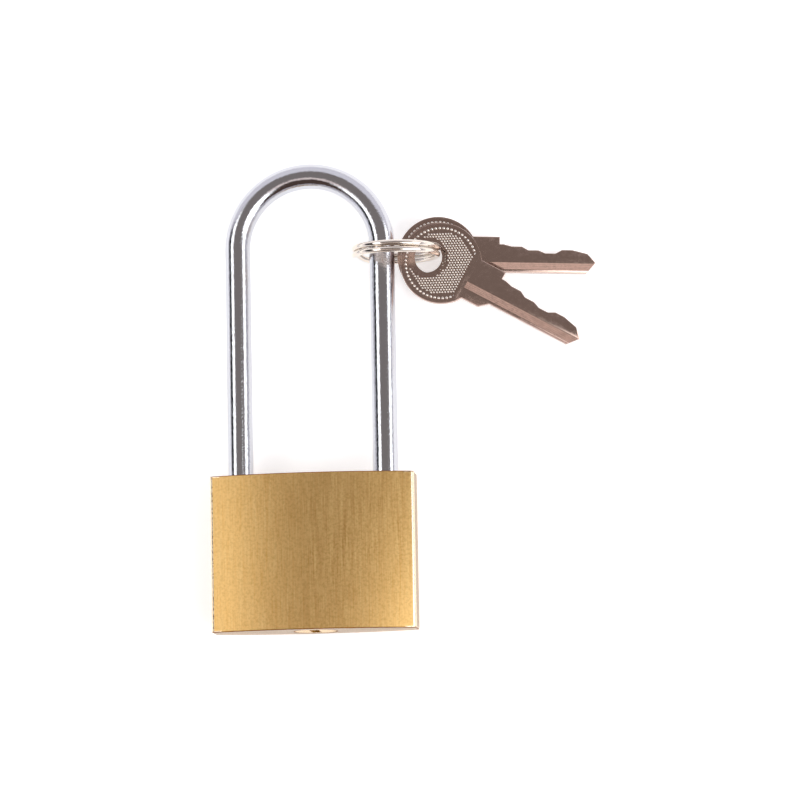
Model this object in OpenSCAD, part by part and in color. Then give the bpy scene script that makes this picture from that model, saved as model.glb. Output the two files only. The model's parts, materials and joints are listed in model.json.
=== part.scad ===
// Long-shackle brass padlock with a split ring and two keys, lying on its back.
// X runs across the body, Y along the shackle and Z from the back to the front.
// The origin is the middle of the keyway face, halfway through the thickness.
// It is drawn pushed shut and unlocked: the plug is turned and the bolt is drawn back.

/* [Body] */
// Width of the body, across the two legs
body_w = 40; // [38:0.5:50]
// Height of the body, along the shackle
body_h = 30.5; // [30:0.5:40]
// Thickness of the body at its middle
body_t = 12.5; // [11.5:0.25:16]
// Thickness of the body at its narrow sides
side_t = 6; // [5.5:0.25:8]
// Bevel along the four long corners
corner_bevel = 0.6; // [0.3:0.1:1]
// Wall between a leg's bore and the narrow side
side_wall = 3.3; // [2.6:0.1:4]

/* [Shackle] */
// Diameter of the shackle's bar
leg_d = 5; // [4.2:0.1:6]
// Height of the shackle above the body when it is shut
shackle_rise = 61.4; // [40:0.2:80]
// How far the shackle lifts when it opens
lift = 8.5; // [7:0.5:9]
// Radial clearance of each leg in its bore
leg_clear = 0.08; // [0.05:0.01:0.1]
// Length of the short leg inside the body
toe_depth = 11; // [10.5:0.5:12]
// Depth of the notch that the bolt enters
notch_depth = 1.7; // [1.4:0.1:2]
// How much the long leg is turned down for its pin
neck_cut = 0.7; // [0.5:0.05:0.9]
// Length of the collar at the long leg's foot
foot_l = 3; // [2:0.5:4]
// Room under the shut long leg for the lifting spring
lift_spring_h = 7; // [6:0.5:8]
// Brass left under the lifting spring
spring_wall = 3.2; // [2.5:0.1:5]

/* [Bolt] */
// Diameter of the bolt
bolt_d = 4; // [3.6:0.1:4.6]
// Distance from the body's top face to the bolt's axis
bolt_down = 6.2; // [5.8:0.1:7]
// Distance from the plug's axis to the cam's driving pin
cam_throw = 1.3; // [1.1:0.05:1.5]
// Diameter of the cam's driving pin
cam_pin_d = 1.6; // [1.2:0.1:1.8]
// Thickness of the cam's disc
cam_t = 1.3; // [1:0.1:1.6]

/* [Cylinder] */
// Diameter of the plug
plug_d = 8; // [7.5:0.1:8.6]
// Radial clearance of the turning and sliding lock parts
fit = 0.05; // [0.03:0.01:0.08]
// Diameter of the lock pins
pin_d = 2.6; // [2.2:0.1:2.8]
// Distance between neighbouring lock pins
pin_pitch = 3.3; // [3.1:0.05:3.5]
// Distance from the keyway face to the first lock pin
first_pin = 3.3; // [3:0.1:4]
// Length of the driver pins
driver_l = 4; // [3:0.25:5]
// Length of the brass plugs that close the side holes
seal_l = 3; // [2.5:0.25:3.2]
// Diameter of the cross pins that hold the plug and the long leg
cross_pin_d = 1.5; // [1.2:0.1:1.7]

/* [Keys] */
// Thickness of a key
key_t = 1.7; // [1.4:0.1:2]
// Radius of a key's round bow
bow_r = 7.95; // [7.5:0.05:9]
// Radius of the hole in the bow
bow_hole_r = 3.1; // [3:0.05:3.5]
// Distance from the bow's centre to the hole's centre
bow_hole_off = 2.35; // [2:0.05:2.5]
// Distance from the bow's centre to the shoulder that stops the key
shoulder_x = 12; // [11.5:0.1:14]
// Half the width of the shoulder
shoulder_half = 4.2; // [3.8:0.1:4.6]
// Half the width of the blade
blade_half = 2.75; // [2.5:0.05:2.9]
// Height of the blade left under each lock pin
cuts = [2.35, 1.65, 1.1, 1.8]; // [0.8:0.05:2.5]

/* [Split ring] */
// Outer radius of the ring
ring_r = 8.7; // [8.4:0.1:10]
// Thickness of the ring's wire
wire_d = 1.2; // [1:0.05:1.4]
// Gap between the ring's two coils
coil_gap = 0.05; // [0.02:0.01:0.1]
// Distance from the leg's axis to the ring's centre, across the body
ring_shift = 3; // [2.6:0.1:3.4]
// Distance from the bend's centre down to the ring
ring_drop = 1.7; // [1:0.1:5]

/* [Hidden] */
$fn = 64;

// Body outline: each face is one long arc
half_w = body_w / 2;
half_t = body_t / 2;
sagitta = half_t - side_t / 2;
face_r = (half_w * half_w + sagitta * sagitta) / (2 * sagitta);
floor_z = -half_t;
over = 0.5;

// Shackle
leg_r = leg_d / 2;
leg_x = half_w - side_wall - leg_r;
bore_r = leg_r + leg_clear;
bend_y = body_h + shackle_rise - leg_x - leg_r;
toe_end = body_h - toe_depth;
toe_gap = 0.5;
spring_floor = spring_wall;
foot_y = spring_floor + lift_spring_h;
neck_r = leg_r - neck_cut;

// Bolt and cam
play = 0.1;
slot_play = 0.15;
bolt_tail = 1.6;
pocket_wall = 1.9;
cam_pin_end = 0.3;
bolt_r = bolt_d / 2;
bolt_y = body_h - bolt_down;
bolt_travel = cam_throw * sqrt(2);
bolt_gap = 2 * play;
notch_play = 0.25;
notch_x = -(leg_x - leg_r + notch_depth);
nose_x = -(leg_x - leg_r) + bolt_gap;
tail_x = cam_throw + cam_pin_d / 2 + bolt_tail;
cam_x = cam_throw * cos(45);
cam_slot_low = cam_x - cam_pin_d / 2 - bolt_travel - slot_play;
cam_slot_high = cam_x + cam_pin_d / 2 + slot_play;
bolt_pocket = leg_x - bore_r - pocket_wall;
cam_top = bolt_y + cam_pin_end;

// Plug
plug_r = plug_d / 2;
cam_room_y = bolt_y - bolt_r - notch_play;
plug_l = cam_room_y - cam_t - play;
plug_web = 1.5;
keyway_l = plug_l - plug_web;
keyway_w = key_t + 2 * play;
keyway_half = blade_half + slot_play;
tongue_w = 1.6;
tongue_end = 0.6;
tongue_h = 1;
tongue_l = plug_d - 2 * tongue_end;
pin_ys = [for (i = [0:3]) first_pin + i * pin_pitch];
chamber_r = pin_d / 2 + fit;
chamber_low = 0.2;
groove_back = 2.6;
groove_cut = 0.75;
groove_y = plug_l - groove_back;
groove_w = cross_pin_d + 2 * play;
groove_r = plug_r - groove_cut;
plug_pin_x = groove_r + play + cross_pin_d / 2;
press_fit = 0.01;
neck_play = 0.12;
neck_over = 0.15;
shackle_pin_x = leg_x - neck_r - neck_play - cross_pin_d / 2;
shackle_pin_y = foot_y + foot_l + play + lift + cross_pin_d / 2;
seal_r = chamber_r + play;
pin_taper = 0.7;
mouth = 0.4;
turning_gap = 0.02;

// Springs
seat_gap = 0.03;
lift_wire_r = 0.3;
bolt_wire_r = 0.2;
pin_wire_r = 0.15;
spring_play = 0.15;

// Keys
shoulder_back = 1.7;
blade_end_gap = 0.4;
blade_l = keyway_l - blade_end_gap;
tip_x = shoulder_x + blade_l;
cut_flat = 2;
ramp_start = 0.8;
tip_y = -0.6;
tip_top = 1.1;
tip_back = 1.8;
tip_front = 1.6;
key_groove_low = -2.2;
key_groove_high = -0.8;
key_groove_depth = 0.4;
ward = 0.3;
groove_start = 6.2;

// Split ring and the keys' places on it
coil_r = ring_r - wire_d / 2;
coil_step = (wire_d + coil_gap) / 2;
ring_x = leg_x + ring_shift;
ring_y = bend_y - ring_drop;
rest_gap = 0.02;
ring_z = floor_z + ring_r + rest_gap;
jog = 25;
jog_turn = 160;
back_turn = -30;
back_heading = -1.9;
front_heading = -28.8;
key_stack = key_t + play;
back_x = ring_x + coil_r * cos(back_turn);
back_z = ring_z + coil_r * sin(back_turn);
back_wire = [-0.9, 0.75];
front_wire = [-1.83, 1.55];
tip_gap = 0.05;
key_tilt = asin((back_z - floor_z - key_t / 2 - tip_gap) / (tip_x - back_wire[0]));
front_turn = asin(sin(back_turn + key_tilt) + key_stack / coil_r) - key_tilt;
front_x = ring_x + coil_r * cos(front_turn);
front_z = ring_z + coil_r * sin(front_turn);

// Points local +Z along the shackle and keeps X
module along_y(y = 0) {
    translate([0, y, 0])
        rotate([-90, 0, 0])
            children();
}

// Points local +Z across the body and starts at x
module along_x(x, y) {
    translate([x, y, 0])
        rotate([0, 90, 0])
            children();
}

module body_outline() {
    difference() {
        intersection() {
            translate([0, half_t - face_r])
                circle(r = face_r, $fn = 256);
            translate([0, face_r - half_t])
                circle(r = face_r, $fn = 256);
            square([body_w, body_t], center = true);
        }
        for (x = [-half_w, half_w], z = [-side_t / 2, side_t / 2])
            translate([x, z])
                rotate(45)
                    square(corner_bevel * sqrt(2), center = true);
    }
}

module body_block() {
    along_y(0)
        linear_extrude(body_h)
            body_outline();
}

// A cross pin's hole or the pin itself, from the back face to z = top
module cross_pin(x, y, r, top) {
    translate([x, y, -half_t - over])
        cylinder(r = r, h = top + half_t + over);
}

module body() color("#d8b56a") {
    difference() {
        body_block();
        translate([-leg_x, 0, 0])
            along_y(toe_end - toe_gap)
                cylinder(r = bore_r, h = toe_depth + toe_gap + over);
        translate([leg_x, 0, 0])
            along_y(spring_floor)
                cylinder(r = bore_r, h = body_h - spring_floor + over);
        along_y(-over)
            cylinder(r = plug_r + fit, h = cam_room_y + over);
        along_y(-over)
            cylinder(r1 = plug_r + fit + mouth + over, r2 = plug_r + fit, h = mouth + over);
        along_y(cam_room_y - over)
            cylinder(r = cam_throw + cam_pin_d / 2 + 3 * play, h = cam_top + 3 * play - cam_room_y + over);
        along_x(-half_w - over, bolt_y)
            cylinder(r = bolt_r + fit, h = half_w + over + bolt_pocket);
        for (y = pin_ys) {
            along_x(-half_w - over, y)
                cylinder(r = chamber_r, h = half_w + over - plug_r + pin_d / 4);
            along_x(-half_w - over, y)
                cylinder(r = seal_r, h = seal_l + over);
        }
        cross_pin(plug_pin_x, groove_y, cross_pin_d / 2 + press_fit, plug_r);
        cross_pin(shackle_pin_x, shackle_pin_y, cross_pin_d / 2 + press_fit, leg_r);
    }
}

module shackle() color("#d5d8dc") {
    difference() {
        union() {
            translate([-leg_x, 0, 0])
                along_y(toe_end)
                    cylinder(r = leg_r, h = bend_y - toe_end);
            translate([leg_x, 0, 0])
                along_y(foot_y)
                    cylinder(r = leg_r, h = bend_y - foot_y);
            translate([0, bend_y, 0])
                rotate_extrude(angle = 180, $fn = 128)
                    translate([leg_x, 0])
                        circle(r = leg_r);
        }
        translate([notch_x, bolt_y - bolt_r - notch_play, -leg_d])
            cube([leg_d, bolt_d + 2 * notch_play, 2 * leg_d]);
        translate([leg_x, 0, 0])
            along_y(foot_y + foot_l)
                difference() {
                    cylinder(r = leg_d, h = shackle_pin_y + cross_pin_d / 2 + neck_over - foot_y - foot_l);
                    translate([0, 0, -over])
                        cylinder(r = neck_r, h = body_h);
                }
    }
}

module shackle_pin() color("#c9a45c") {
    intersection() {
        body_block();
        cross_pin(shackle_pin_x, shackle_pin_y, cross_pin_d / 2, leg_r - play);
    }
}

// One coil spring of round wire, from z = 0 to z = length
module coil(r, wire_r, length, turns, steps = 14, sides = 6) {
    count = turns * steps;
    points = [for (i = [0:count]) for (k = [0:sides - 1])
        let (a = 360 * i / steps, b = 360 * k / sides, out = r + wire_r * cos(b))
        [out * cos(a), out * sin(a), wire_r + (length - 2 * wire_r) * i / count + wire_r * sin(b)]];
    tube(points, count, sides);
}

// Skins rings of points and caps both ends
module tube(points, count, sides) {
    faces = concat(
        [[for (k = [0:sides - 1]) k]],
        [for (i = [0:count - 1]) for (k = [0:sides - 1])
            let (n = (k + 1) % sides)
            [i * sides + k, (i + 1) * sides + k, (i + 1) * sides + n, i * sides + n]],
        [[for (k = [sides - 1:-1:0]) count * sides + k]]);
    polyhedron(points = points, faces = faces, convexity = 8);
}

module lift_spring() color("#b8bcc2") {
    translate([leg_x, 0, 0])
        along_y(spring_floor + seat_gap)
            coil(leg_r - spring_play - lift_wire_r, lift_wire_r, lift_spring_h - 2 * seat_gap, 6, 16);
}

module bolt() color("#caa25a") {
    difference() {
        along_x(nose_x, bolt_y)
            cylinder(r = bolt_r, h = tail_x - nose_x);
        translate([cam_slot_low, bolt_y - bolt_d, -bolt_d])
            cube([cam_slot_high - cam_slot_low, bolt_d + cam_pin_end + 2 * play, 2 * bolt_d]);
    }
}

module bolt_spring() color("#b8bcc2") {
    along_x(tail_x + seat_gap, bolt_y)
        coil(bolt_r - spring_play - bolt_wire_r, bolt_wire_r, bolt_pocket - tail_x - 2 * seat_gap, 6);
}

module bolt_bore_seal() color("#d0ab60") {
    along_x(-half_w, bolt_y)
        cylinder(r = bolt_r + fit - press_fit, h = half_w - leg_x - bore_r - seat_gap);
}

module keyway() {
    depth = keyway_l + over;
    difference() {
        translate([-keyway_w / 2, -over, -keyway_half])
            cube([keyway_w, depth, 2 * keyway_half]);
        translate([keyway_w / 2 - ward, -2 * over, key_groove_low + play])
            cube([keyway_w, depth + 2 * over, key_groove_high - key_groove_low - 2 * play]);
    }
}

module plug() color("#e0c078") {
    difference() {
        along_y(turning_gap)
            cylinder(r = plug_r, h = plug_l - turning_gap);
        keyway();
        for (y = pin_ys)
            translate([0, y, chamber_low])
                cylinder(r = chamber_r, h = plug_r);
        along_y(groove_y - groove_w / 2)
            difference() {
                cylinder(r = plug_d, h = groove_w);
                translate([0, 0, -over])
                    cylinder(r = groove_r, h = groove_w + 2 * over);
            }
        translate([-plug_d, plug_l - tongue_h - turning_gap, -tongue_w / 2 - turning_gap])
            cube([2 * plug_d, tongue_h + over, tongue_w + 2 * turning_gap]);
    }
}

module cam() color("#b9bdc3") {
    along_y(plug_l + press_fit)
        cylinder(r = plug_r - play, h = cam_t);
    translate([-tongue_l / 2, plug_l - tongue_h, -tongue_w / 2])
        cube([tongue_l, tongue_h + 2 * play, tongue_w]);
    translate([cam_x, 0, cam_x])
        along_y(plug_l + cam_t - play)
            cylinder(r = cam_pin_d / 2, h = cam_top - plug_l - cam_t + play);
}

module plug_pin() color("#c9a45c") {
    intersection() {
        body_block();
        cross_pin(plug_pin_x, groove_y, cross_pin_d / 2, plug_r - play);
    }
}

module key_pin(i) color("#c58f4a") {
    low = cuts[i] + seat_gap;
    top = sqrt(plug_r * plug_r - pin_d * pin_d / 4) - press_fit;
    translate([0, pin_ys[i], low]) {
        cylinder(r1 = pin_d / 2 - pin_taper, r2 = pin_d / 2, h = pin_taper);
        translate([0, 0, pin_taper])
            cylinder(r = pin_d / 2, h = top - low - pin_taper);
    }
}

module driver_pin(i) color("#c7cbd0") {
    along_x(-plug_r - fit - driver_l, pin_ys[i])
        cylinder(r = pin_d / 2, h = driver_l);
}

module pin_spring(i) color("#b8bcc2") {
    start = -half_w + seal_l + seat_gap;
    along_x(start, pin_ys[i])
        coil(pin_d / 2 - spring_play - pin_wire_r, pin_wire_r,
             -plug_r - fit - driver_l - seat_gap - start, 7, 12);
}

module pin_bore_seal(i) color("#d0ab60") {
    along_x(-half_w, pin_ys[i])
        cylinder(r = seal_r - press_fit, h = seal_l - 2 * press_fit);
}

// Two flat coils of wire joined by one step from the lower to the upper coil
module split_ring() color("#c2c4c6") {
    steps = 72;
    sides = 12;
    overlap = 1.2 * jog;
    span = 720 - 2 * overlap;
    points = [for (i = [0:steps]) for (k = [0:sides - 1])
        let (a = overlap + span * i / steps, b = 360 * k / sides,
             t = min(1, max(0, (a - 360 + jog) / (2 * jog))),
             rise = coil_step * (6 * t * t - 4 * t * t * t - 1),
             out = coil_r + wire_d / 2 * cos(b))
        [out * cos(a), out * sin(a), rise + wire_d / 2 * sin(b)]];
    translate([ring_x, ring_y, ring_z])
        rotate([-90, 0, 0])
            rotate(jog_turn)
                tube(points, steps, sides);
}

module key_outline() {
    circle(r = bow_r, $fn = 128);
    polygon(concat(
        [[0, -shoulder_half], [shoulder_x - shoulder_back, -shoulder_half],
         [shoulder_x, -blade_half], [tip_x - tip_back, -blade_half], [tip_x, tip_y],
         [tip_x - tip_front, tip_top]],
        [for (i = [3:-1:0]) for (side = [0.5, -0.5])
            [shoulder_x + pin_ys[i] + side * cut_flat, cuts[i]]],
        [[shoulder_x + ramp_start, blade_half], [shoulder_x, blade_half],
         [shoulder_x, shoulder_half], [0, shoulder_half]]));
}

module key() {
    difference() {
        linear_extrude(key_t, center = true)
            key_outline();
        translate([-bow_hole_off, 0, -key_t])
            cylinder(r = bow_hole_r, h = 2 * key_t);
        translate([groove_start, key_groove_low, key_t / 2 - key_groove_depth])
            cube([tip_x, key_groove_high - key_groove_low, key_t]);
    }
}

module front_key() color("#b7a79b") {
    translate([front_x, ring_y, front_z])
        rotate([0, key_tilt, 0])
            rotate(front_heading)
                translate([-front_wire[0], -front_wire[1], 0])
                    key();
}

module back_key() color("#a89a90") {
    translate([back_x, ring_y, back_z])
        rotate([0, key_tilt, 0])
            rotate(back_heading)
                translate([-back_wire[0], -back_wire[1], 0])
                    key();
}

body();
shackle();
shackle_pin();
lift_spring();
bolt();
bolt_spring();
bolt_bore_seal();
plug();
cam();
plug_pin();
for (i = [0:3]) {
    key_pin(i);
    driver_pin(i);
    pin_spring(i);
    pin_bore_seal(i);
}
split_ring();
front_key();
back_key();
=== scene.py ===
import json
import math
import bpy
from mathutils import Matrix, Vector


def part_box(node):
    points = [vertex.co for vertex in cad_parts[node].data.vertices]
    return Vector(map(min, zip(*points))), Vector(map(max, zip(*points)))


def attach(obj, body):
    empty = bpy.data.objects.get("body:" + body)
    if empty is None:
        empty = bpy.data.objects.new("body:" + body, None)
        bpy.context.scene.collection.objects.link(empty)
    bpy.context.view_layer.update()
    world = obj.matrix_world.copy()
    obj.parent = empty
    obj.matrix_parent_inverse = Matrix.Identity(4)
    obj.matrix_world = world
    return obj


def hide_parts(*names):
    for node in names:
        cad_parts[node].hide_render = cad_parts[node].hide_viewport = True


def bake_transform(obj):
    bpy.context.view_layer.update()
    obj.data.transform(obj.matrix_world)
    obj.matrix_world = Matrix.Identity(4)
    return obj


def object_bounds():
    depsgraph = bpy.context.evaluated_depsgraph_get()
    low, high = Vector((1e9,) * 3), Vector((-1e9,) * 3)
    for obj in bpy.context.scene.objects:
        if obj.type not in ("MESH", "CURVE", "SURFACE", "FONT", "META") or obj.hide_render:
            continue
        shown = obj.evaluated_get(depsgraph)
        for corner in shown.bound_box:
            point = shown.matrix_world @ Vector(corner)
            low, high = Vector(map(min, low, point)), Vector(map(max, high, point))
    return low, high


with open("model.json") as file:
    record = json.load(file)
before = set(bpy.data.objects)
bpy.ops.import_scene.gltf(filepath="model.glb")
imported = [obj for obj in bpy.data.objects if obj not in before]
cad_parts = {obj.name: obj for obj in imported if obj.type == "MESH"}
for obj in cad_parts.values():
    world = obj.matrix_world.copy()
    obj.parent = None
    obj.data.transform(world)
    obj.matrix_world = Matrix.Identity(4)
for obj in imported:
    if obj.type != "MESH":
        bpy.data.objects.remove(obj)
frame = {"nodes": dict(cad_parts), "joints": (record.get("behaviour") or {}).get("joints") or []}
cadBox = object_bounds()

mm = 0.001
joints = {joint["name"]: joint for joint in frame["joints"]}


def deselectAll():
    if bpy.context.object and bpy.context.object.mode != "OBJECT":
        bpy.ops.object.mode_set(mode="OBJECT")
    bpy.ops.object.select_all(action="DESELECT")


def takeUp(piece):
    # makes one object the active and only selected one
    deselectAll()
    piece.select_set(True)
    bpy.context.view_layer.objects.active = piece


def selectParts(piece, kind, test):
    # in edit mode, selects the vertices (by place), edges (by both ends) or faces (by middle and
    # normal) that pass the test
    bpy.ops.object.mode_set(mode="OBJECT")
    mesh = piece.data
    for group in (mesh.vertices, mesh.edges, mesh.polygons):
        group.foreach_set("select", [False] * len(group))
    for part in {"VERT": mesh.vertices, "EDGE": mesh.edges, "FACE": mesh.polygons}[kind]:
        if kind == "VERT":
            chosen = test(part.co)
        elif kind == "EDGE":
            chosen = test(*[mesh.vertices[i].co for i in part.vertices])
        else:
            chosen = test(part.center, part.normal)
        part.select = bool(chosen)
    bpy.ops.object.mode_set(mode="EDIT")
    bpy.ops.mesh.select_mode(type=kind)


def near(a, b, slack=1e-6):
    return abs(a - b) < slack


def applyPlace(piece):
    takeUp(piece)
    bpy.ops.object.transform_apply(location=True, rotation=True, scale=True)


def applyModifier(piece, kind, **settings):
    takeUp(piece)
    modifier = piece.modifiers.new(kind.title(), kind)
    for name, value in settings.items():
        setattr(modifier, name, value)
    bpy.ops.object.modifier_apply(modifier=modifier.name)


def drill(piece, tool, operation="DIFFERENCE"):
    # cuts or joins with a second piece, which is then thrown away
    applyModifier(piece, "BOOLEAN", operation=operation, object=tool, solver="EXACT")
    bpy.data.objects.remove(tool)


def addRod(start, end, radius, sides=48, endRadius=None):
    # a closed round rod between two points
    start, end = Vector(start), Vector(end)
    middle = (start + end) / 2
    deselectAll()
    turn = (end - start).to_track_quat("Z", "Y").to_euler()
    if endRadius is None:
        bpy.ops.mesh.primitive_cylinder_add(vertices=sides, radius=radius, depth=(end - start).length,
                                            location=middle, rotation=turn)
    else:
        bpy.ops.mesh.primitive_cone_add(vertices=sides, radius1=radius, radius2=endRadius,
                                        depth=(end - start).length, location=middle, rotation=turn)
    piece = bpy.context.object
    applyPlace(piece)
    return piece


def addBlock(low, high):
    low, high = Vector(low), Vector(high)
    deselectAll()
    bpy.ops.mesh.primitive_cube_add(size=1, location=(low + high) / 2)
    piece = bpy.context.object
    piece.scale = high - low
    applyPlace(piece)
    return piece


def finishPiece(piece, name, material, body, slot, *nodes, angle=35):
    piece.name = name
    piece.data.name = name
    takeUp(piece)
    bpy.ops.object.shade_smooth_by_angle(angle=math.radians(angle))
    piece.data.materials.clear()
    piece.data.materials.append(material)
    if body:  # a piece given no body is attached to none
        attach(piece, body)
    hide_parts(*nodes)
    deselectAll()
    return piece


def hexColour(text):
    # sRGB hex to linear
    values = [int(text[i:i + 2], 16) / 255 for i in (1, 3, 5)]
    return [v / 12.92 if v <= 0.04045 else ((v + 0.055) / 1.055) ** 2.4 for v in values] + [1.0]


def addNode(material, kind, settings=None, links=None):
    # settings: socket or attribute name to value; links: input socket to (node, output socket)
    # a colour Mix node's sockets go by number: 0 is its factor, 6 and 7 its colours, 2 its result
    node = material.node_tree.nodes.new(kind)
    for name, value in (settings or {}).items():
        if isinstance(name, int) or name in node.inputs:
            node.inputs[name].default_value = value
        else:
            setattr(node, name, value)
    for name, (source, output) in (links or {}).items():
        material.node_tree.links.new(source.outputs[output], node.inputs[name])
    return node


def newMetal(name, colour, roughness):
    material = bpy.data.materials.new(name)
    material.use_nodes = True
    shader = material.node_tree.nodes["Principled BSDF"]
    shader.inputs["Base Color"].default_value = hexColour(colour)
    shader.inputs["Metallic"].default_value = 1.0
    shader.inputs["Roughness"].default_value = roughness
    return material, shader


def link(material, source, output, node, name):
    material.node_tree.links.new(source.outputs[output], node.inputs[name])


def rampBetween(material, source, output, low, high, stops=(0.0, 1.0)):
    ramp = addNode(material, "ShaderNodeValToRGB", links={"Fac": (source, output)})
    for stop, place, colour in zip(ramp.color_ramp.elements, stops, (low, high)):
        stop.position = place
        stop.color = hexColour(colour)
    return ramp


# the lines and mottle are drawn coarser than real brushing, which is too fine to show
brassFinish = {"light": "#ebc98a", "dark": "#deb06a", "lineStops": (0.3, 0.7), "roughness": 0.43,
               "smoother": 0.05, "rougher": 0.09, "lineMm": 0.2, "lineLengthMm": 9.0, "mottleMm": 0.5,
               "mottle": "#dccfb4", "mottleStops": (0.36, 0.56), "mottleMix": 0.5,
               "bump": 0.35, "bumpMm": 0.02}


def makeBrushedBrass():
    # brass dressed on a belt along the lock's height: fine lines that stretch the shine sideways
    finish = brassFinish
    material, shader = newMetal("brushedBrass", finish["light"], finish["roughness"])
    place = addNode(material, "ShaderNodeTexCoord")
    across, along = 1 / (finish["lineMm"] * mm), 1 / (finish["lineLengthMm"] * mm)
    stretch = addNode(material, "ShaderNodeMapping", {"Scale": (across, along, across)},
                      {"Vector": (place, "Object")})
    lines = addNode(material, "ShaderNodeTexNoise", {"Scale": 1.0, "Detail": 3.0, "Roughness": 0.7},
                    {"Vector": (stretch, "Vector")})
    mottle = addNode(material, "ShaderNodeTexNoise",
                     {"Scale": 1 / (finish["mottleMm"] * mm), "Detail": 5.0, "Roughness": 0.65},
                     {"Vector": (place, "Object")})
    colours = rampBetween(material, lines, "Fac", finish["dark"], finish["light"], finish["lineStops"])
    tone = rampBetween(material, mottle, "Fac", finish["mottle"], "#ffffff", finish["mottleStops"])
    mix = addNode(material, "ShaderNodeMix",
                  {"data_type": "RGBA", "blend_type": "MULTIPLY", 0: finish["mottleMix"]},
                  {6: (colours, "Color"), 7: (tone, "Color")})
    link(material, mix, 2, shader, "Base Color")
    rough = addNode(material, "ShaderNodeMapRange",
                    {"From Min": finish["lineStops"][0], "From Max": finish["lineStops"][1],
                     "To Min": finish["roughness"] - finish["smoother"],
                     "To Max": finish["roughness"] + finish["rougher"]}, {"Value": (lines, "Fac")})
    link(material, rough, "Result", shader, "Roughness")
    bump = addNode(material, "ShaderNodeBump",
                   {"Strength": finish["bump"], "Distance": finish["bumpMm"] * mm},
                   {"Height": (lines, "Fac")})
    link(material, bump, "Normal", shader, "Normal")
    return material


# how far the grain makes a plain metal smoother and rougher than its own value
plainFinish = {"from": 0.35, "to": 0.7, "smooth": 0.7, "rough": 1.6}


def makePlainMetal(name, colour, roughness, grainMm, strength, heightMm):
    # bright metal with a fine uneven surface, from plating, drawing or turning
    material, shader = newMetal(name, colour, roughness)
    place = addNode(material, "ShaderNodeTexCoord")
    grain = addNode(material, "ShaderNodeTexNoise",
                    {"Scale": 1 / (grainMm * mm), "Detail": 4.0, "Roughness": 0.6},
                    {"Vector": (place, "Object")})
    rough = addNode(material, "ShaderNodeMapRange",
                    {"From Min": plainFinish["from"], "From Max": plainFinish["to"],
                     "To Min": roughness * plainFinish["smooth"],
                     "To Max": roughness * plainFinish["rough"]},
                    {"Value": (grain, "Fac")})
    link(material, rough, "Result", shader, "Roughness")
    bump = addNode(material, "ShaderNodeBump", {"Strength": strength, "Distance": heightMm * mm},
                   {"Height": (grain, "Fac")})
    link(material, bump, "Normal", shader, "Normal")
    return material


brushedBrass = makeBrushedBrass()
# brass polished along the corners and coloured paler than brass as a painted highlight: a pale, soft line
# of light
polishedHighlightBrass = makePlainMetal("polishedHighlightBrass", "#f6e3c6", 0.26, 0.5, 0.3, 0.01)
# a darker, greyer copy of the brass on the ends and narrow sides and the seals set in them, painted shade:
# greyer and duller than the brushed faces
shadedSideBrass = makePlainMetal("shadedSideBrass", "#ad957a", 0.34, 0.25, 0.4, 0.02)
# brass coloured darker brown on the burred rim bevels: a thin brown line round each end
brownRimBrass = makePlainMetal("brownRimBrass", "#94622f", 0.36, 0.3, 0.5, 0.02)
# brass turned on a lathe, on the plug, bolt and cross pins: clean yellow and fairly bright
turnedBrass = makePlainMetal("turnedBrass", "#e8c27c", 0.24, 0.3, 0.25, 0.01)
# chrome plate on a drawn bar: sharp stripes of light and dark that waver a little
chrome = makePlainMetal("chromePlate", "#cfd0d6", 0.07, 0.4, 0.9, 0.035)
# nickel plate on spring wire: bright and a little warm
nickelWire = makePlainMetal("nickelPlatedWire", "#e6ddd3", 0.12, 0.7, 0.4, 0.01)
# thin nickel plate on stamped brass: warm grey, smooth and fairly dark in the flat
nickelKey = makePlainMetal("nickelPlatedBrass", "#c4aca1", 0.17, 0.6, 0.15, 0.01)
# the same plate where the die raised it, coloured paler as a painted highlight: small bright dots
highlightedDotNickel = makePlainMetal("highlightedDotNickel", "#e9e3dc", 0.12, 0.6, 0.15, 0.01)
# phosphor bronze rod, on the key pins: redder than the brass
pinBronze = makePlainMetal("pinBronze", "#c98f52", 0.25, 0.3, 0.2, 0.01)
# ground steel, on the cam and driver pins: neutral grey
brightSteel = makePlainMetal("brightSteel", "#b9bcc2", 0.22, 0.3, 0.2, 0.01)
# drawn spring wire: darker and duller grey
springSteel = makePlainMetal("springSteel", "#9fa2a8", 0.28, 0.2, 0.2, 0.01)
print("materials made")


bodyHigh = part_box("body")[1]
halfWidth, halfDepth = bodyHigh.x, bodyHigh.z
bodyHeight = bodyHigh.y
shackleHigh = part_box("shackle")[1]
boltLow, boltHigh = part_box("bolt")
boltY = (boltLow.y + boltHigh.y) / 2
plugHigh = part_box("plug")[1]
plugRadius = plugHigh.x
legRadius = shackleHigh.z
legX = shackleHigh.x - legRadius
bendY = shackleHigh.y - shackleHigh.x


def pinRows():
    # the height of each row of lock pins
    rows = []
    for number in range(1, 5):
        low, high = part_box("driver_pin_%d" % number)
        rows.append((low.y + high.y) / 2)
    return rows


bodyShape = {"arcSteps": 56, "cornerBevel": 0.6, "rimBevel": 0.3, "nick": 0.05, "legGap": 0.08,
             "seam": 0.03, "plugGap": 0.05, "plugMouth": 0.35, "sideCorner": 0.6, "toeRoom": 0.5,
             "camRoom": 1.4, "camPinRoom": 0.3, "camPinSweep": 2.4, "boltGap": 0.05, "boreOverlap": 0.6,
             "nickDeep": 0.6, "nickClear": 1.3, "endNormal": 0.97, "sideNormal": 0.999,
             "rimNormal": 0.3, "faceNormal": 0.94}


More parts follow.
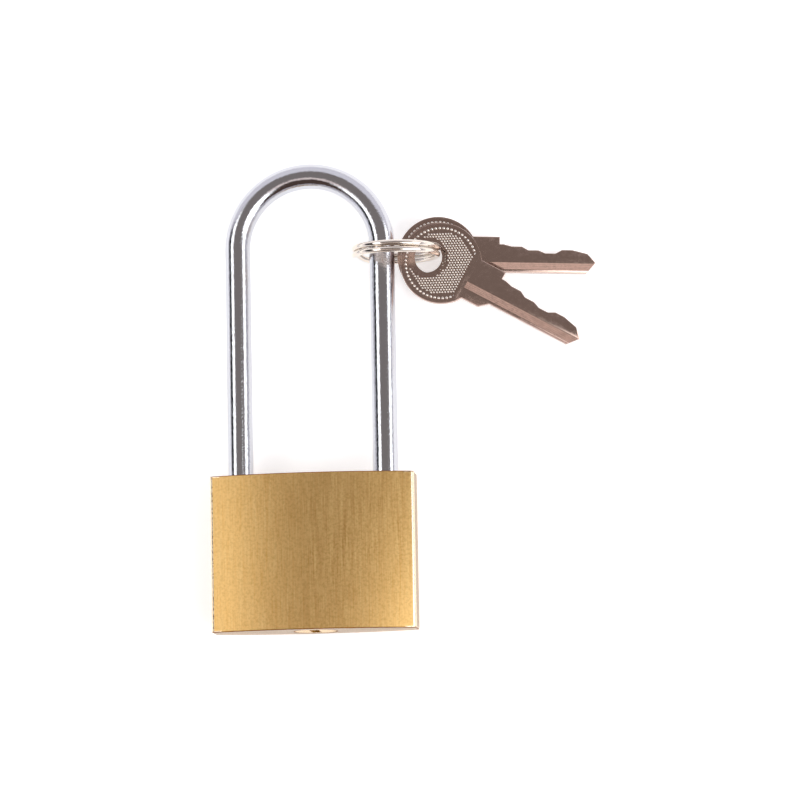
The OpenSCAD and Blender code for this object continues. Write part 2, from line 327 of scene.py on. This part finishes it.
def addLens():
    # the lens-shaped block: a side face, swept round to each curved face in turn
    shape = bodyShape
    sideHalf = max(v.co.z for v in frame["nodes"]["body"].data.vertices if v.co.x > halfWidth - 1e-5)
    sideHalf += shape["sideCorner"] * mm
    sagitta = halfDepth - sideHalf
    faceRadius = (halfWidth ** 2 + sagitta ** 2) / (2 * sagitta)
    sweep = 2 * math.asin(halfWidth / faceRadius)
    deselectAll()
    bpy.ops.mesh.primitive_plane_add(size=1, location=(halfWidth, bodyHeight / 2, 0),
                                     rotation=(0, math.pi / 2, 0))
    piece = bpy.context.object
    piece.scale = (2 * sideHalf, bodyHeight, 1)
    applyPlace(piece)
    bpy.ops.object.mode_set(mode="EDIT")
    selectParts(piece, "EDGE", lambda a, b: near(a.z, sideHalf) and near(b.z, sideHalf))
    bpy.ops.mesh.spin(steps=shape["arcSteps"], angle=sweep, axis=(0, 1, 0),
                      center=(0, 0, halfDepth - faceRadius))
    bpy.ops.mesh.extrude_edges_move(TRANSFORM_OT_translate={"value": (0, 0, -2 * sideHalf)})
    bpy.ops.mesh.spin(steps=shape["arcSteps"], angle=sweep, axis=(0, 1, 0),
                      center=(0, 0, faceRadius - halfDepth))
    bpy.ops.mesh.select_all(action="SELECT")
    bpy.ops.mesh.remove_doubles(threshold=1e-6)
    for level in (0, bodyHeight):
        selectParts(piece, "EDGE", lambda a, b: near(a.y, level) and near(b.y, level))
        bpy.ops.mesh.edge_face_add()
    bpy.ops.mesh.select_all(action="SELECT")
    bpy.ops.mesh.normals_make_consistent(inside=False)
    selectParts(piece, "EDGE", lambda a, b: near(a.x, b.x) and near(a.z, b.z)
                and near(abs(a.x), halfWidth, 1e-5) and near(abs(a.z), sideHalf, 1e-5))
    bpy.ops.mesh.bevel(offset=shape["cornerBevel"] * mm, segments=4)
    for level in (0, bodyHeight):
        selectParts(piece, "EDGE", lambda a, b: near(a.y, level) and near(b.y, level))
        bpy.ops.mesh.bevel(offset=shape["rimBevel"] * mm, segments=4)
    bpy.ops.object.mode_set(mode="OBJECT")
    return piece


def makeBody():
    shape = bodyShape
    piece = addLens()
    beyond = 1 * mm
    boreRadius = legRadius + shape["legGap"] * mm
    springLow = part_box("lift_spring")[0].y
    toeFloor = min(v.co.y for v in frame["nodes"]["shackle"].data.vertices if v.co.x < 0)
    toeFloor -= shape["toeRoom"] * mm
    drill(piece, addRod((-legX, toeFloor, 0), (-legX, bodyHeight + beyond, 0), boreRadius, 64))
    drill(piece, addRod((legX, springLow, 0), (legX, bodyHeight + beyond, 0), boreRadius, 64))
    plugBore = plugRadius + shape["plugGap"] * mm
    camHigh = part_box("cam")[1].y
    plugRoom = plugHigh.y + shape["camRoom"] * mm
    drill(piece, addRod((0, -beyond, 0), (0, plugRoom, 0), plugBore, 96))
    mouth = shape["plugMouth"] * mm
    drill(piece, addRod((0, -mouth, 0), (0, mouth, 0), plugBore + 2 * mouth, 96, plugBore))
    drill(piece, addRod((0, plugRoom - beyond, 0), (0, camHigh + shape["camPinRoom"] * mm, 0),
                        shape["camPinSweep"] * mm, 64))
    boltRadius = (boltHigh.z - boltLow.z) / 2
    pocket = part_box("bolt_spring")[1].x
    seam = shape["seam"] * mm
    boltBore = boltRadius + shape["boltGap"] * mm + seam
    drill(piece, addRod((-halfWidth - beyond, boltY, 0), (pocket, boltY, 0), boltBore, 64))
    sealLow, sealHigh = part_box("pin_bore_seal_1")
    sealRadius = (sealHigh.z - sealLow.z) / 2 + seam
    boreEnd = -plugRadius + shape["boreOverlap"] * mm
    for row in pinRows():
        drill(piece, addRod((-halfWidth - beyond, row, 0), (boreEnd, row, 0), sealRadius, 48))
    for name in ("plug_pin", "shackle_pin"):
        low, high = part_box(name)
        x, y = (low.x + high.x) / 2, (low.y + high.y) / 2
        drill(piece, addRod((x, y, -halfDepth - beyond), (x, y, high.z), (high.x - low.x) / 2 + seam, 32))
    # small nicks along the rim of the keyway face
    takeUp(piece)
    deep = shape["nickDeep"] * shape["rimBevel"] * mm
    clear = shape["nickClear"] * plugRadius
    selectParts(piece, "VERT", lambda a: 1e-6 < a.y < deep and math.hypot(a.x, a.z) > clear)
    bpy.ops.transform.vertex_random(offset=shape["nick"] * mm, seed=4)
    bpy.ops.object.mode_set(mode="OBJECT")
    finishPiece(piece, "brassBody", brushedBrass, "lock_body", "brushed_brass", "body", angle=20)
    # the long corners are polished and coloured paler as a painted highlight, the ends and sides are
    # greyer and darker as painted shade, and the burred rims are darker brown
    for material in (polishedHighlightBrass, shadedSideBrass, brownRimBrass):
        piece.data.materials.append(material)
    for face in piece.data.polygons:
        across, along, up = (abs(value) for value in face.normal)
        if along > shape["endNormal"] or across > shape["sideNormal"]:
            face.material_index = 2
        elif along > shape["rimNormal"]:
            face.material_index = 3
        elif up < shape["faceNormal"]:
            face.material_index = 1
    return piece


makeBody()
print("body modelled")


shackleShape = {"sides": 64, "bendSteps": 96, "endBevel": 0.5, "notchPad": 0.25,
                "notchDepth": 1.7, "footLength": 3, "neckCut": 0.7, "neckPad": 0.15}


def makeShackle():
    shape = shackleShape
    corners = [v.co for v in frame["nodes"]["shackle"].data.vertices]
    toeEnd = min(c.y for c in corners if c.x < 0)
    footEnd = min(c.y for c in corners if c.x > 0)
    deselectAll()
    bpy.ops.mesh.primitive_circle_add(vertices=shape["sides"], radius=legRadius, fill_type="NOTHING",
                                      location=(-legX, toeEnd, 0), rotation=(math.pi / 2, 0, 0))
    piece = bpy.context.object
    applyPlace(piece)
    bpy.ops.object.mode_set(mode="EDIT")
    bpy.ops.mesh.select_all(action="SELECT")
    bpy.ops.mesh.extrude_edges_move(TRANSFORM_OT_translate={"value": (0, bendY - toeEnd, 0)})
    bpy.ops.mesh.spin(steps=shape["bendSteps"], angle=math.pi, axis=(0, 0, 1), center=(0, bendY, 0))
    bpy.ops.mesh.extrude_edges_move(TRANSFORM_OT_translate={"value": (0, footEnd - bendY, 0)})
    for end in (toeEnd, footEnd):
        selectParts(piece, "EDGE", lambda a, b: near(a.y, end, 1e-5) and near(b.y, end, 1e-5))
        bpy.ops.mesh.edge_face_add()
        bpy.ops.mesh.bevel(offset=shape["endBevel"] * mm, segments=4)
    bpy.ops.mesh.select_all(action="SELECT")
    bpy.ops.mesh.normals_make_consistent(inside=False)
    bpy.ops.object.mode_set(mode="OBJECT")
    # notch for the bolt, on the short leg's inner side
    notchX = legRadius - legX - shape["notchDepth"] * mm
    reach = (boltHigh.y - boltLow.y) / 2 + shape["notchPad"] * mm
    drill(piece, addBlock((notchX, boltY - reach, -2 * legRadius), (0, boltY + reach, 2 * legRadius)))
    # turned neck for the cross pin, on the long leg
    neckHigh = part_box("shackle_pin")[1].y + shape["neckPad"] * mm
    neckLow = footEnd + shape["footLength"] * mm
    sleeve = addRod((legX, neckLow, 0), (legX, neckHigh, 0), 2 * legRadius, 64)
    neckRadius = legRadius - shape["neckCut"] * mm
    drill(sleeve, addRod((legX, neckLow - mm, 0), (legX, neckHigh + mm, 0), neckRadius, 64))
    drill(piece, sleeve)
    return finishPiece(piece, "chromedShackle", chrome, "shackle", "chromed_steel", "shackle", angle=30)


makeShackle()
print("shackle modelled")


ringShape = {"wire": 1.2, "coilStep": 0.625, "wireSides": 20, "jogTurn": 160, "jogHalf": 25, "overlap": 30,
             "flatSteps": 100, "jogSteps": 20}


def makeRing():
    # two flat coils of drawn wire, wound on through one short step
    shape = ringShape
    low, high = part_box("split_ring")
    middle = (low + high) / 2
    wireRadius = shape["wire"] * mm / 2
    coilRadius = (high.x - low.x) / 2 - wireRadius
    step = shape["coilStep"] * mm
    start = math.radians(shape["overlap"] + shape["jogTurn"])
    wireEnd = middle + Vector((coilRadius * math.cos(start), -step, -coilRadius * math.sin(start)))
    deselectAll()
    bpy.ops.mesh.primitive_circle_add(vertices=shape["wireSides"], radius=wireRadius, location=wireEnd,
                                      rotation=(0, start, 0))
    piece = bpy.context.object
    applyPlace(piece)
    bpy.ops.object.mode_set(mode="EDIT")
    bpy.ops.mesh.select_all(action="SELECT")
    flat = math.radians(360 - shape["jogHalf"] - shape["overlap"])
    jog = math.radians(2 * shape["jogHalf"])
    bpy.ops.mesh.spin(steps=shape["flatSteps"], angle=-flat, axis=(0, 1, 0), center=middle)
    rise = -1.0
    for count in range(1, shape["jogSteps"] + 1):
        part = count / shape["jogSteps"]
        nextRise = 6 * part ** 2 - 4 * part ** 3 - 1  # eases from -1 to 1
        bpy.ops.mesh.spin(steps=1, angle=-jog / shape["jogSteps"], axis=(0, 1, 0), center=middle)
        bpy.ops.transform.translate(value=(0, (nextRise - rise) * step, 0))
        rise = nextRise
    bpy.ops.mesh.spin(steps=shape["flatSteps"], angle=-flat, axis=(0, 1, 0), center=middle)
    bpy.ops.mesh.select_all(action="SELECT")
    bpy.ops.mesh.remove_doubles(threshold=1e-7)
    bpy.ops.mesh.select_all(action="DESELECT")
    bpy.ops.mesh.select_non_manifold()
    bpy.ops.mesh.fill_holes(sides=shape["wireSides"] + 2)
    bpy.ops.mesh.select_all(action="SELECT")
    bpy.ops.mesh.normals_make_consistent(inside=False)
    bpy.ops.object.mode_set(mode="OBJECT")
    return finishPiece(piece, "splitRing", nickelWire, "split_ring", "nickel_wire", "split_ring", angle=40)


makeRing()
print("split ring wound")


# measured from the bow's middle, x towards the tip, y towards the cut side
keyShape = {"thick": 1.7, "bow": 7.95, "bowSteps": 110, "hole": 3.1, "holeX": -2.35, "shoulder": 12.0,
            "shoulderHalf": 4.2, "slantX": 10.3, "bladeHalf": 2.75, "tip": 30.75, "edge": 0.12,
            "cuts": (2.35, 1.65, 1.1, 1.8), "cutFlat": 2.0, "grooveStart": 6.2,
            "groove": (-2.2, -0.8, 0.4), "flutes": 4, "fluteSlant": 17, "fluteHalf": 0.52, "grooveEnd": 40,
            "backGroove": (0.35, 0.75, 0.25), "recess": 0.24, "rim": 7.4, "chord": 5.1,
            "collar": 3.75, "collarShift": (-0.6, -0.3), "bead": 0.31, "beadRise": 0.25, "beadRing": 6.92,
            "beads": 56, "beadFrom": 30, "beadTo": 323, "field": 6.3, "stud": 0.225, "studRise": 0.2,
            "acrossMm": 0.55, "rowMm": 0.476, "rimGap": 0.15, "chordGap": 0.3, "collarGap": 0.2,
            "holeGap": 0.25, "ramp": 0.8, "tipBack": 1.8, "tipFront": 1.6, "tipTop": 1.1, "tipY": -0.6}
keyPlaces = {"front_key": {"heading": -28.8, "wire": (-1.83, 1.55)},
             "back_key": {"heading": -1.9, "wire": (-0.9, 0.75)}}


def traceOutline(points):
    # pulls one vertex along a list of points and fills the closed loop
    deselectAll()
    bpy.ops.mesh.primitive_plane_add(size=mm)
    piece = bpy.context.object
    bpy.ops.object.mode_set(mode="EDIT")
    bpy.ops.mesh.select_mode(type="VERT")
    bpy.ops.mesh.select_all(action="SELECT")
    bpy.ops.mesh.merge(type="CENTER")
    bpy.ops.transform.translate(value=points[0])
    for here, there in zip(points, points[1:]):
        bpy.ops.mesh.extrude_vertices_move(TRANSFORM_OT_translate={"value": Vector(there) - Vector(here)})
    return piece


def addKeyBlank():
    shape = keyShape
    half = shape["thick"] / 2
    rows = [row / mm for row in pinRows()]
    side = [(shape["shoulder"], shape["shoulderHalf"]), (shape["shoulder"], shape["bladeHalf"]),
            (shape["shoulder"] + shape["ramp"], shape["bladeHalf"])]
    for row, height in zip(rows, shape["cuts"]):
        for end in (-0.5, 0.5):
            side.append((shape["shoulder"] + row + end * shape["cutFlat"], height))
    side += [(shape["tip"] - shape["tipFront"], shape["tipTop"]), (shape["tip"], shape["tipY"]),
             (shape["tip"] - shape["tipBack"], -shape["bladeHalf"]),
             (shape["shoulder"], -shape["bladeHalf"]), (shape["slantX"], -shape["shoulderHalf"])]
    neck = math.sqrt(shape["bow"] ** 2 - shape["shoulderHalf"] ** 2)
    side = [(neck, shape["shoulderHalf"])] + side + [(neck, -shape["shoulderHalf"])]
    piece = traceOutline([Vector((x, y, -half)) * mm for x, y in side])
    turn = 2 * math.pi - 2 * math.asin(shape["shoulderHalf"] / shape["bow"])
    bpy.ops.mesh.spin(steps=shape["bowSteps"], angle=turn, axis=(0, 0, 1), center=(0, 0, -half * mm))
    bpy.ops.mesh.select_all(action="SELECT")
    bpy.ops.mesh.remove_doubles(threshold=1e-6)
    bpy.ops.mesh.edge_face_add()
    bpy.ops.mesh.extrude_region_move(TRANSFORM_OT_translate={"value": (0, 0, 2 * half * mm)})
    bpy.ops.mesh.select_all(action="SELECT")
    bpy.ops.mesh.normals_make_consistent(inside=False)
    for level in (-half * mm, half * mm):
        selectParts(piece, "EDGE", lambda a, b: near(a.z, level) and near(b.z, level))
        bpy.ops.mesh.bevel(offset=shape["edge"] * mm, segments=2)
    bpy.ops.object.mode_set(mode="OBJECT")
    return piece


def collarMiddle():
    # the smooth collar is struck a little off the hole, so it shows as a crescent
    return (keyShape["holeX"] + keyShape["collarShift"][0]) * mm, keyShape["collarShift"][1] * mm


def addBowRelief(side):
    # the cutter that sinks the patterned field of one face below its rim, hole collar and chord bar
    shape = keyShape
    half = shape["thick"] / 2
    floor = (half - shape["recess"]) * side * mm
    beyond = 10 * mm
    out = (half + 1) * side * mm
    cutter = addRod((0, 0, floor), (0, 0, out), shape["rim"] * mm, 128)
    drill(cutter, addBlock((shape["chord"] * mm, -beyond, min(floor, out) - mm),
                           (2 * beyond, beyond, max(floor, out) + mm)))
    collarX, collarY = collarMiddle()
    drill(cutter, addRod((collarX, collarY, floor - side * mm), (collarX, collarY, out + side * mm),
                         shape["collar"] * mm, 96))
    return cutter


def copyAround(piece, places):
    # one small shape copied to each place, each copy with its own mesh, and all joined
    copies = []
    for place in places:
        copy = piece.copy()
        copy.data = piece.data.copy()
        copy.matrix_world = Matrix.Translation(place)
        bpy.context.collection.objects.link(copy)
        copies.append(copy)
    bpy.data.objects.remove(piece)
    deselectAll()
    for copy in copies:
        copy.select_set(True)
    bpy.context.view_layer.objects.active = copies[0]
    bpy.ops.object.join()
    joined = bpy.context.object
    applyPlace(joined)
    return joined


def addBeads(side):
    shape = keyShape
    deselectAll()
    bpy.ops.mesh.primitive_uv_sphere_add(segments=10, ring_count=6, radius=shape["bead"] * mm)
    bead = bpy.context.object
    bead.scale.z = shape["beadRise"] / shape["bead"]
    applyPlace(bead)
    level = (shape["thick"] / 2 - shape["recess"]) * side * mm
    reach = shape["beadRing"] * mm
    places = []
    for number in range(shape["beads"]):
        angle = 360 * number / shape["beads"] + shape["beadFrom"]
        if angle <= shape["beadTo"]:
            places.append(Vector((reach * math.cos(math.radians(angle)),
                                  reach * math.sin(math.radians(angle)), level)))
    return copyAround(bead, places)


def addLattice(side):
    # small round studs in staggered rows, as cut into the stamping die
    shape = keyShape
    collarX, collarY = collarMiddle()
    deselectAll()
    bpy.ops.mesh.primitive_uv_sphere_add(segments=8, ring_count=6, radius=shape["stud"] * mm)
    stud = bpy.context.object
    stud.scale.z = shape["studRise"] / shape["stud"]
    applyPlace(stud)
    level = (shape["thick"] / 2 - shape["recess"]) * side * mm
    places = []
    rows = int(shape["field"] / shape["rowMm"]) + 1
    for row in range(-rows, rows + 1):
        for column in range(-rows, rows + 1):
            x = row * shape["rowMm"]
            y = (column + 0.5 * (row % 2)) * shape["acrossMm"]
            inRim = math.hypot(x, y) < shape["field"] - shape["rimGap"]
            inChord = x < shape["chord"] - shape["chordGap"]
            fromCollar = math.hypot(x - collarX / mm, y - collarY / mm)
            offCollar = fromCollar > shape["collar"] + shape["collarGap"]
            offHole = math.hypot(x - shape["holeX"], y) > shape["hole"] + shape["holeGap"]
            if inRim and inChord and offCollar and offHole:
                places.append(Vector((x * mm, y * mm, level)))
    return copyAround(stud, places)


def makeKey():
    shape = keyShape
    half = shape["thick"] / 2
    piece = addKeyBlank()
    for side in (1, -1):
        drill(piece, addBowRelief(side))
    low, high, deep = shape["groove"]
    start = shape["grooveStart"]
    width = (high - low) / shape["flutes"]
    end = shape["grooveEnd"] * mm
    wide = shape["fluteHalf"] * width * mm  # a little over half, so neighbouring flutes meet
    for flute in range(shape["flutes"]):
        tooth = addBlock((start * mm, -wide, 0), (end, wide, mm))
        tooth.rotation_euler.x = math.radians(shape["fluteSlant"])
        tooth.location = (0, (low + width * (flute + 0.5)) * mm, (half - deep / 2) * mm)
        applyPlace(tooth)
        drill(piece, tooth)
    low, high, deep = shape["backGroove"]
    drill(piece, addBlock((start * mm, low * mm, -2 * half * mm), (end, high * mm, (deep - half) * mm)))
    holeX = shape["holeX"] * mm
    drill(piece, addRod((holeX, 0, -2 * half * mm), (holeX, 0, 2 * half * mm), shape["hole"] * mm, 96))
    details = [addBeads(1), addBeads(-1), addLattice(1), addLattice(-1)]
    deselectAll()
    for detail in details + [piece]:
        detail.select_set(True)
    bpy.context.view_layer.objects.active = piece
    plainFaces = len(piece.data.polygons)
    bpy.ops.object.join()
    return piece, plainFaces


def placeKeys():
    pattern, plainFaces = makeKey()
    for node, place in keyPlaces.items():
        piece = pattern.copy()
        piece.data = pattern.data.copy()
        bpy.context.collection.objects.link(piece)
        hinge = joints[node + "_swing"]
        axis = Vector(hinge["axis"])
        tilt = math.atan2(axis.x, axis.z)
        wire = Vector((*place["wire"], 0)) * mm
        piece.matrix_world = (Matrix.Translation(hinge["pos_m"]) @ Matrix.Rotation(tilt, 4, "Y")
                              @ Matrix.Rotation(math.radians(place["heading"]), 4, "Z")
                              @ Matrix.Translation(-wire))
        applyPlace(piece)
        name = "frontKey" if node == "front_key" else "backKey"
        finishPiece(piece, name, nickelKey, node, "nickel_plate", node, angle=38)
        # the struck beads and lattice stand proud and get a paler copy of the plating as a painted
        # highlight
        piece.data.materials.append(highlightedDotNickel)
        for face in piece.data.polygons[plainFaces:]:
            face.material_index = 1
    bpy.data.objects.remove(pattern)


placeKeys()
print("keys cut and placed")


# each spring sits on the body and pushes one piece; the spring itself is attached to no body
springShape = {"wireSides": 8, "stepsPerTurn": 20}
springPlaces = {"lift_spring": {"name": "liftSpring", "wire": 0.3, "turns": 6, "push": (0, 1, 0),
                                "moves": "shackle"},
                "bolt_spring": {"name": "boltSpring", "wire": 0.2, "turns": 6, "push": (-1, 0, 0),
                                "moves": "bolt"}}
for number in range(1, 5):
    springPlaces["pin_spring_%d" % number] = {"name": "pinSpring%d" % number, "wire": 0.15, "turns": 7,
                                              "push": (1, 0, 0), "moves": "driver_pin_%d" % number}


def makeSpring(node):
    place = springPlaces[node]
    low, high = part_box(node)
    push = Vector(place["push"])
    length = abs((high - low).dot(push))
    start = (low + high) / 2 - push * length / 2
    wire = place["wire"] * mm
    deselectAll()
    bpy.ops.mesh.primitive_circle_add(vertices=springShape["wireSides"], radius=wire,
                                      location=((high.z - low.z) / 2 - wire, 0, wire),
                                      rotation=(math.pi / 2, 0, 0))
    piece = bpy.context.object
    applyPlace(piece)
    applyModifier(piece, "SCREW", axis="Z", iterations=place["turns"], steps=springShape["stepsPerTurn"],
                  render_steps=springShape["stepsPerTurn"],
                  screw_offset=(length - 2 * wire) / place["turns"])
    bpy.ops.object.mode_set(mode="EDIT")
    bpy.ops.mesh.select_all(action="SELECT")
    bpy.ops.mesh.fill_holes(sides=springShape["wireSides"])
    bpy.ops.mesh.select_all(action="SELECT")
    bpy.ops.mesh.normals_make_consistent(inside=False)
    bpy.ops.object.mode_set(mode="OBJECT")
    piece.matrix_world = Matrix.Translation(start) @ push.to_track_quat("Z", "Y").to_matrix().to_4x4()
    applyPlace(piece)
    finishPiece(piece, place["name"], springSteel, None, "spring_steel", node, angle=50)
    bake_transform(piece)


for node in springPlaces:
    makeSpring(node)
print("springs wound")

keptFinishes = {"plug": turnedBrass, "bolt": turnedBrass, "bolt_bore_seal": shadedSideBrass,
                "plug_pin": turnedBrass, "shackle_pin": turnedBrass, "cam": brightSteel}
for number in range(1, 5):
    keptFinishes["key_pin_%d" % number] = pinBronze
    keptFinishes["driver_pin_%d" % number] = brightSteel
    keptFinishes["pin_bore_seal_%d" % number] = shadedSideBrass
for node, material in keptFinishes.items():
    for slot in frame["nodes"][node].material_slots:
        slot.material = material


studio = {"floorSize": 3.0, "floor": "#f4f4f4", "lampHeight": 1.6, "lampSize": 2.2, "lampPower": 3,
          "floorGlow": 0.47, "floorRough": 0.9, "dark": "#595452", "flag": "#161616", "box": "#ffffff",
          "low": "#352a26", "strip": "#ada19d", "sides": "#a09ea3", "glow": 2.6,
          "boxLow": (-0.62, -0.52), "boxHigh": (0.42, 0.34), "stripSides": (0.8, 0.7),
          "roundLamp": (0.6, -0.34, 0.72), "roundEdge": (0.925, 0.98), "roundGlow": 1.7,
          "wall": (0.64, 0.72), "wallSlant": 0.35, "horizon": (0.2, 0.14)}
shot = {"target": (17.25, 44.70, 0.0), "distance": 1000.0, "yaw": 6.2, "pitch": 7.05, "roll": -1.04,
        "lens": 231.1, "sensor": 36.0, "clip": 20}


def setFloor():
    material = bpy.data.materials.new("paintedBoard")
    material.use_nodes = True
    shader = material.node_tree.nodes["Principled BSDF"]
    shader.inputs["Base Color"].default_value = hexColour(studio["floor"])
    shader.inputs["Roughness"].default_value = studio["floorRough"]
    shader.inputs["Emission Color"].default_value = hexColour("#ffffff")
    shader.inputs["Emission Strength"].default_value = studio["floorGlow"]
    deselectAll()
    bpy.ops.mesh.primitive_plane_add(size=studio["floorSize"], location=(0, 0, cadBox[0][2]))
    floor = bpy.context.object
    floor.name = "paleFloor"
    floor.data.materials.append(material)


def fade(world, ends, source, output):
    # 0 at the first of two values, 1 at the second
    return addNode(world, "ShaderNodeMapRange", {"From Min": ends[0], "From Max": ends[1]},
                   {"Value": (source, output)})


def setLight():
    # a dark ceiling with two long light boxes, so polished bars show light and dark stripes
    world = bpy.data.worlds.new("softStudio")
    bpy.context.scene.world = world
    world.use_nodes = True
    background = world.node_tree.nodes["Background"]
    place = addNode(world, "ShaderNodeTexCoord")
    parts = addNode(world, "ShaderNodeSeparateXYZ", links={"Vector": (place, "Generated")})
    above = addNode(world, "ShaderNodeMath", {"operation": "MAXIMUM", 1: 0.0}, {0: (parts, "Z")})
    angle = addNode(world, "ShaderNodeMath", {"operation": "ARCTAN2"}, {0: (parts, "X"), 1: (above, 0)})
    across = fade(world, (-math.pi / 2, math.pi / 2), angle, 0)
    boxes = addNode(world, "ShaderNodeValToRGB", links={"Fac": (across, 0)})
    dark, flag, box = studio["dark"], studio["flag"], studio["box"]
    setStops(boxes, [(at(-69), flag), (at(-56), flag), (at(-53), box), (at(-36), box), (at(-33), dark),
                     (at(50), dark), (at(53), box), (at(72), box), (at(75), flag)])
    # both long boxes fade out at a low and a high end
    lowEnd = fade(world, studio["boxLow"], parts, "Y")
    highEnd = fade(world, studio["boxHigh"], parts, "Y")
    boxLength = addNode(world, "ShaderNodeMath", {"operation": "MULTIPLY"},
                        {0: (lowEnd, 0), 1: (highEnd, 0)})
    boxLight = addNode(world, "ShaderNodeMix", {"data_type": "RGBA", 6: hexColour("#000000")},
                       {0: (boxLength, 0), 7: (boxes, "Color")})
    # a dim strip across the ceiling, towards the keyway end
    along = fade(world, (-1.0, 1.0), parts, "Y")
    strip = addNode(world, "ShaderNodeValToRGB", links={"Fac": (along, 0)})
    setStops(strip, [(0.0, studio["low"]), (0.225, studio["low"]), (0.25, studio["strip"]),
                     (0.32, studio["strip"]), (0.345, dark)])
    side = addNode(world, "ShaderNodeMath", {"operation": "ABSOLUTE"}, {0: (parts, "X")})
    middle = fade(world, studio["stripSides"], side, 0)
    stripLight = addNode(world, "ShaderNodeMix", {"data_type": "RGBA", 6: hexColour("#000000")},
                         {0: (middle, 0), 7: (strip, "Color")})
    overhead = addNode(world, "ShaderNodeMix", {"data_type": "RGBA", "blend_type": "LIGHTEN", 0: 1.0},
                       {6: (boxLight, 2), 7: (stripLight, 2)})
    # a round lamp to the lower right, which the straight bars don't mirror
    toRound = addNode(world, "ShaderNodeVectorMath", {"operation": "DOT_PRODUCT", 1: studio["roundLamp"]},
                      {0: (place, "Generated")})
    roundLamp = fade(world, studio["roundEdge"], toRound, "Value")
    roundLamp.inputs["To Max"].default_value = studio["roundGlow"]
    lit = addNode(world, "ShaderNodeMix", {"data_type": "RGBA", "blend_type": "LIGHTEN", 0: 1.0},
                  {6: (overhead, 2), 7: (roundLamp, 0)})
    # a grey wall past the shackle's bend
    slant = addNode(world, "ShaderNodeMath", {"operation": "MULTIPLY_ADD", 1: studio["wallSlant"]},
                    {0: (side, 0), 2: (parts, "Y")})
    top = fade(world, studio["wall"], slant, 0)
    withTop = addNode(world, "ShaderNodeMix", {"data_type": "RGBA", 7: hexColour(studio["sides"])},
                      {0: (top, 0), 6: (lit, 2)})
    # a grey horizon all round
    horizon = fade(world, studio["horizon"], parts, "Z")
    dome = addNode(world, "ShaderNodeMix", {"data_type": "RGBA", 7: hexColour(studio["sides"])},
                   {0: (horizon, 0), 6: (withTop, 2)})
    # the eye itself sees plain white past the floor's edge
    path = addNode(world, "ShaderNodeLightPath")
    seen = addNode(world, "ShaderNodeMix", {"data_type": "RGBA", 7: hexColour("#ffffff")},
                   {0: (path, "Is Camera Ray"), 6: (dome, 2)})
    world.node_tree.links.new(seen.outputs[2], background.inputs["Color"])
    background.inputs["Strength"].default_value = studio["glow"]
    deselectAll()
    bpy.ops.object.light_add(type="AREA", location=(0, 0, studio["lampHeight"]))
    lamp = bpy.context.object
    lamp.name = "overheadSoftbox"
    lamp.data.size = studio["lampSize"]
    lamp.data.energy = studio["lampPower"]
    lamp.visible_glossy = False
    lamp.visible_camera = False


def at(degrees):
    # place on a ramp that runs from one horizon over the top to the other
    return (degrees + 90) / 180


def setStops(ramp, stops):
    elements = ramp.color_ramp.elements
    while len(elements) < len(stops):
        elements.new(1.0)
    for element, (position, colour) in zip(elements, stops):
        element.position = position
        element.color = hexColour(colour)


def setCamera():
    yaw, pitch = math.radians(shot["yaw"]), math.radians(shot["pitch"])
    toCamera = Vector((math.sin(yaw) * math.cos(pitch), -math.sin(pitch), math.cos(yaw) * math.cos(pitch)))
    deselectAll()
    bpy.ops.object.camera_add()
    camera = bpy.context.object
    camera.name = "studioCamera"
    right = Vector((0, 1, 0)).cross(toCamera).normalized()
    turn = Matrix((right, toCamera.cross(right), toCamera)).transposed().to_4x4()
    camera.matrix_world = (Matrix.Translation((Vector(shot["target"]) + toCamera * shot["distance"]) * mm)
                           @ turn @ Matrix.Rotation(math.radians(shot["roll"]), 4, "Z"))
    camera.data.lens = shot["lens"]
    camera.data.sensor_width = shot["sensor"]
    camera.data.clip_end = shot["clip"]
    bpy.context.scene.camera = camera


setFloor()
setLight()
setCamera()
bpy.context.scene.view_settings.view_transform = "Standard"
print("floor, light and camera set")
